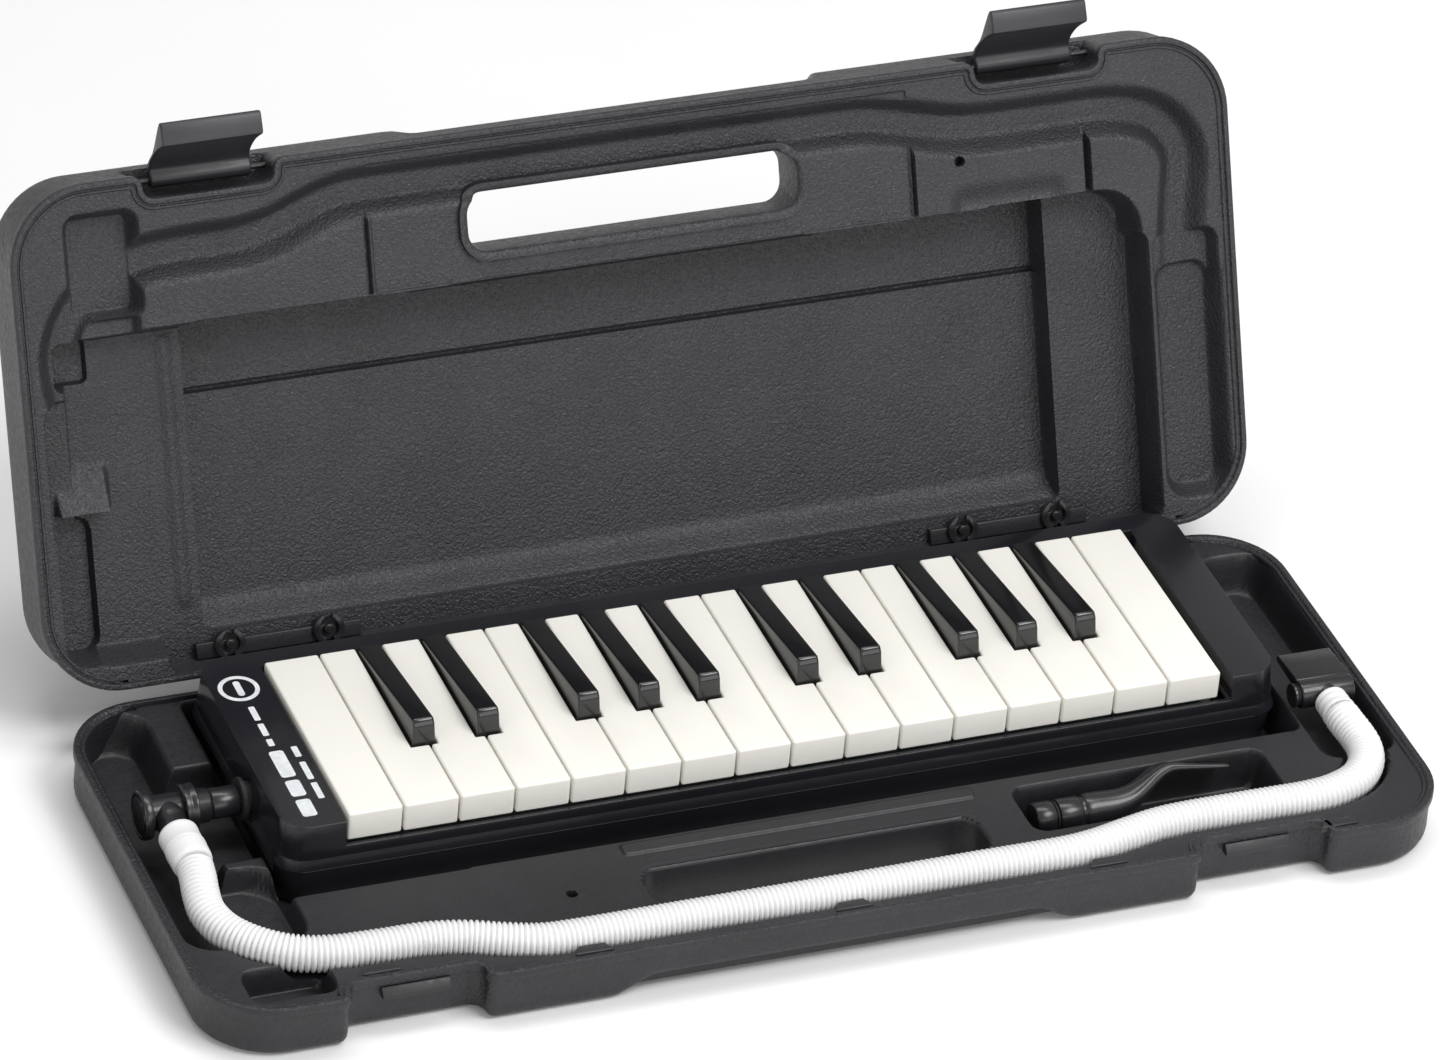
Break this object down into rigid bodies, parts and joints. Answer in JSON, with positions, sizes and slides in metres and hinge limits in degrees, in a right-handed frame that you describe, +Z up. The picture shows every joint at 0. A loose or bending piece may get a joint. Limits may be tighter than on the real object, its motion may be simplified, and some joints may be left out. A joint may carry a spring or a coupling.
{
  "type": "melodica",
  "caption": "Key-blown reed keyboard lying in its open fitted case, with a blowing hose plugged into its end and a short mouthpiece in a pocket.",
  "frame": {"origin": "centre of the case's flat underside", "axes": "+X along the keyboard towards the high notes, +Y towards the case's hinges, +Z up"},
  "size_m": [0.45, 0.2782, 0.2021],
  "materials": {
    "case_plastic": "moulded leather grain, satin",
    "lid_plastic": "moulded leather grain, satin",
    "latch_plastic": "smooth satin",
    "housing_gloss": "high gloss",
    "black_key_plastic": "gloss",
    "white_key_plastic": "warm white gloss",
    "fitting_gloss": "gloss",
    "hose_plastic": "soft white, semi-gloss",
    "steel": "bright drawn steel",
    "reed_brass": "milled",
    "rubber_seal": "matt",
    "felt": "felt",
    "inner_plastic": "plain moulded"
  },
  "bodies": {
    "case_base": {"case_base": "case_plastic", "hinge_base_leaf_left": "case_plastic", "hinge_base_leaf_right": "case_plastic", "hinge_pin_left": "steel", "hinge_pin_right": "steel"},
    "lid": {"case_lid": "lid_plastic", "hinge_lid_leaf_left": "case_plastic", "hinge_lid_leaf_right": "case_plastic", "latch_pin_left": "steel", "latch_pin_right": "steel"},
    "latch_left": {"latch_left": "latch_plastic"},
    "latch_right": {"latch_right": "latch_plastic"},
    "melodica": {"housing_top": "housing_gloss", "housing_bottom": "housing_gloss", "housing_screw_1": "steel", "housing_screw_2": "steel", "housing_screw_3": "steel", "housing_screw_4": "steel", "key_rod": "steel", "key_bed": "inner_plastic", "key_felt": "felt", "spring_comb": "steel", "wind_chamber": "inner_plastic", "chamber_gasket": "rubber_seal", "reed_plate": "reed_brass", "blow_socket": "rubber_seal", "hose_elbow": "fitting_gloss", "elbow_clip": "fitting_gloss", "hose_cuff_left": "hose_plastic", "hose_tube": "hose_plastic", "hose_cuff_right": "hose_plastic", "hose_mouthpiece": "fitting_gloss"},
    "short_mouthpiece": {"short_mouthpiece": "fitting_gloss", "short_mouthpiece_ring": "rubber_seal"},
    "white_key_01": {"white_key_01": "white_key_plastic"},
    "white_key_02": {"white_key_02": "white_key_plastic"},
    "black_key_01": {"black_key_01": "black_key_plastic"},
    "white_key_03": {"white_key_03": "white_key_plastic"},
    "black_key_02": {"black_key_02": "black_key_plastic"},
    "white_key_04": {"white_key_04": "white_key_plastic"},
    "white_key_05": {"white_key_05": "white_key_plastic"},
    "black_key_03": {"black_key_03": "black_key_plastic"},
    "white_key_06": {"white_key_06": "white_key_plastic"},
    "black_key_04": {"black_key_04": "black_key_plastic"},
    "white_key_07": {"white_key_07": "white_key_plastic"},
    "black_key_05": {"black_key_05": "black_key_plastic"},
    "white_key_08": {"white_key_08": "white_key_plastic"},
    "white_key_09": {"white_key_09": "white_key_plastic"},
    "black_key_06": {"black_key_06": "black_key_plastic"},
    "white_key_10": {"white_key_10": "white_key_plastic"},
    "black_key_07": {"black_key_07": "black_key_plastic"},
    "white_key_11": {"white_key_11": "white_key_plastic"},
    "white_key_12": {"white_key_12": "white_key_plastic"},
    "black_key_08": {"black_key_08": "black_key_plastic"},
    "white_key_13": {"white_key_13": "white_key_plastic"},
    "black_key_09": {"black_key_09": "black_key_plastic"},
    "white_key_14": {"white_key_14": "white_key_plastic"},
    "black_key_10": {"black_key_10": "black_key_plastic"},
    "white_key_15": {"white_key_15": "white_key_plastic"},
    "white_key_16": {"white_key_16": "white_key_plastic"}
  },
  "joints": [
    {"name": "lid_hinge", "type": "hinge", "parent": "case_base", "child": "lid", "pos_m": [0, 0.09045, 0.02], "axis": [-1, 0, 0], "range_deg": [-113.7, 0]},
    {"name": "latch_left_flip", "type": "hinge", "parent": "lid", "child": "latch_left", "pos_m": [-0.1523, 0.17247, 0.17451], "axis": [-1, 0, 0], "range_deg": [-43, 0]},
    {"name": "latch_right_flip", "type": "hinge", "parent": "lid", "child": "latch_right", "pos_m": [0.1523, 0.17247, 0.17451], "axis": [-1, 0, 0], "range_deg": [-43, 0]},
    {"name": "melodica_lift", "type": "slide", "parent": "case_base", "child": "melodica", "axis": [0, 0, 1], "range_m": [0, 0.12]},
    {"name": "short_mouthpiece_lift", "type": "slide", "parent": "case_base", "child": "short_mouthpiece", "axis": [0, 0, 1], "range_m": [0, 0.08]},
    {"name": "white_key_01_press", "type": "hinge", "parent": "melodica", "child": "white_key_01", "pos_m": [0, 0.06, 0.024], "axis": [1, 0, 0], "range_deg": [0, 3.1], "stiffness_Nm_per_rad": 0.2, "springref_deg": -11.46},
    {"name": "white_key_02_press", "type": "hinge", "parent": "melodica", "child": "white_key_02", "pos_m": [0, 0.06, 0.024], "axis": [1, 0, 0], "range_deg": [0, 3.1], "stiffness_Nm_per_rad": 0.2, "springref_deg": -11.46},
    {"name": "black_key_01_press", "type": "hinge", "parent": "melodica", "child": "black_key_01", "pos_m": [0, 0.06, 0.024], "axis": [1, 0, 0], "range_deg": [0, 3.1], "stiffness_Nm_per_rad": 0.2, "springref_deg": -11.46},
    {"name": "white_key_03_press", "type": "hinge", "parent": "melodica", "child": "white_key_03", "pos_m": [0, 0.06, 0.024], "axis": [1, 0, 0], "range_deg": [0, 3.1], "stiffness_Nm_per_rad": 0.2, "springref_deg": -11.46},
    {"name": "black_key_02_press", "type": "hinge", "parent": "melodica", "child": "black_key_02", "pos_m": [0, 0.06, 0.024], "axis": [1, 0, 0], "range_deg": [0, 3.1], "stiffness_Nm_per_rad": 0.2, "springref_deg": -11.46},
    {"name": "white_key_04_press", "type": "hinge", "parent": "melodica", "child": "white_key_04", "pos_m": [0, 0.06, 0.024], "axis": [1, 0, 0], "range_deg": [0, 3.1], "stiffness_Nm_per_rad": 0.2, "springref_deg": -11.46},
    {"name": "white_key_05_press", "type": "hinge", "parent": "melodica", "child": "white_key_05", "pos_m": [0, 0.06, 0.024], "axis": [1, 0, 0], "range_deg": [0, 3.1], "stiffness_Nm_per_rad": 0.2, "springref_deg": -11.46},
    {"name": "black_key_03_press", "type": "hinge", "parent": "melodica", "child": "black_key_03", "pos_m": [0, 0.06, 0.024], "axis": [1, 0, 0], "range_deg": [0, 3.1], "stiffness_Nm_per_rad": 0.2, "springref_deg": -11.46},
    {"name": "white_key_06_press", "type": "hinge", "parent": "melodica", "child": "white_key_06", "pos_m": [0, 0.06, 0.024], "axis": [1, 0, 0], "range_deg": [0, 3.1], "stiffness_Nm_per_rad": 0.2, "springref_deg": -11.46},
    {"name": "black_key_04_press", "type": "hinge", "parent": "melodica", "child": "black_key_04", "pos_m": [0, 0.06, 0.024], "axis": [1, 0, 0], "range_deg": [0, 3.1], "stiffness_Nm_per_rad": 0.2, "springref_deg": -11.46},
    {"name": "white_key_07_press", "type": "hinge", "parent": "melodica", "child": "white_key_07", "pos_m": [0, 0.06, 0.024], "axis": [1, 0, 0], "range_deg": [0, 3.1], "stiffness_Nm_per_rad": 0.2, "springref_deg": -11.46},
    {"name": "black_key_05_press", "type": "hinge", "parent": "melodica", "child": "black_key_05", "pos_m": [0, 0.06, 0.024], "axis": [1, 0, 0], "range_deg": [0, 3.1], "stiffness_Nm_per_rad": 0.2, "springref_deg": -11.46},
    {"name": "white_key_08_press", "type": "hinge", "parent": "melodica", "child": "white_key_08", "pos_m": [0, 0.06, 0.024], "axis": [1, 0, 0], "range_deg": [0, 3.1], "stiffness_Nm_per_rad": 0.2, "springref_deg": -11.46},
    {"name": "white_key_09_press", "type": "hinge", "parent": "melodica", "child": "white_key_09", "pos_m": [0, 0.06, 0.024], "axis": [1, 0, 0], "range_deg": [0, 3.1], "stiffness_Nm_per_rad": 0.2, "springref_deg": -11.46},
    {"name": "black_key_06_press", "type": "hinge", "parent": "melodica", "child": "black_key_06", "pos_m": [0, 0.06, 0.024], "axis": [1, 0, 0], "range_deg": [0, 3.1], "stiffness_Nm_per_rad": 0.2, "springref_deg": -11.46},
    {"name": "white_key_10_press", "type": "hinge", "parent": "melodica", "child": "white_key_10", "pos_m": [0, 0.06, 0.024], "axis": [1, 0, 0], "range_deg": [0, 3.1], "stiffness_Nm_per_rad": 0.2, "springref_deg": -11.46},
    {"name": "black_key_07_press", "type": "hinge", "parent": "melodica", "child": "black_key_07", "pos_m": [0, 0.06, 0.024], "axis": [1, 0, 0], "range_deg": [0, 3.1], "stiffness_Nm_per_rad": 0.2, "springref_deg": -11.46},
    {"name": "white_key_11_press", "type": "hinge", "parent": "melodica", "child": "white_key_11", "pos_m": [0, 0.06, 0.024], "axis": [1, 0, 0], "range_deg": [0, 3.1], "stiffness_Nm_per_rad": 0.2, "springref_deg": -11.46},
    {"name": "white_key_12_press", "type": "hinge", "parent": "melodica", "child": "white_key_12", "pos_m": [0, 0.06, 0.024], "axis": [1, 0, 0], "range_deg": [0, 3.1], "stiffness_Nm_per_rad": 0.2, "springref_deg": -11.46},
    {"name": "black_key_08_press", "type": "hinge", "parent": "melodica", "child": "black_key_08", "pos_m": [0, 0.06, 0.024], "axis": [1, 0, 0], "range_deg": [0, 3.1], "stiffness_Nm_per_rad": 0.2, "springref_deg": -11.46},
    {"name": "white_key_13_press", "type": "hinge", "parent": "melodica", "child": "white_key_13", "pos_m": [0, 0.06, 0.024], "axis": [1, 0, 0], "range_deg": [0, 3.1], "stiffness_Nm_per_rad": 0.2, "springref_deg": -11.46},
    {"name": "black_key_09_press", "type": "hinge", "parent": "melodica", "child": "black_key_09", "pos_m": [0, 0.06, 0.024], "axis": [1, 0, 0], "range_deg": [0, 3.1], "stiffness_Nm_per_rad": 0.2, "springref_deg": -11.46},
    {"name": "white_key_14_press", "type": "hinge", "parent": "melodica", "child": "white_key_14", "pos_m": [0, 0.06, 0.024], "axis": [1, 0, 0], "range_deg": [0, 3.1], "stiffness_Nm_per_rad": 0.2, "springref_deg": -11.46},
    {"name": "black_key_10_press", "type": "hinge", "parent": "melodica", "child": "black_key_10", "pos_m": [0, 0.06, 0.024], "axis": [1, 0, 0], "range_deg": [0, 3.1], "stiffness_Nm_per_rad": 0.2, "springref_deg": -11.46},
    {"name": "white_key_15_press", "type": "hinge", "parent": "melodica", "child": "white_key_15", "pos_m": [0, 0.06, 0.024], "axis": [1, 0, 0], "range_deg": [0, 3.1], "stiffness_Nm_per_rad": 0.2, "springref_deg": -11.46},
    {"name": "white_key_16_press", "type": "hinge", "parent": "melodica", "child": "white_key_16", "pos_m": [0, 0.06, 0.024], "axis": [1, 0, 0], "range_deg": [0, 3.1], "stiffness_Nm_per_rad": 0.2, "springref_deg": -11.46}
  ]
}
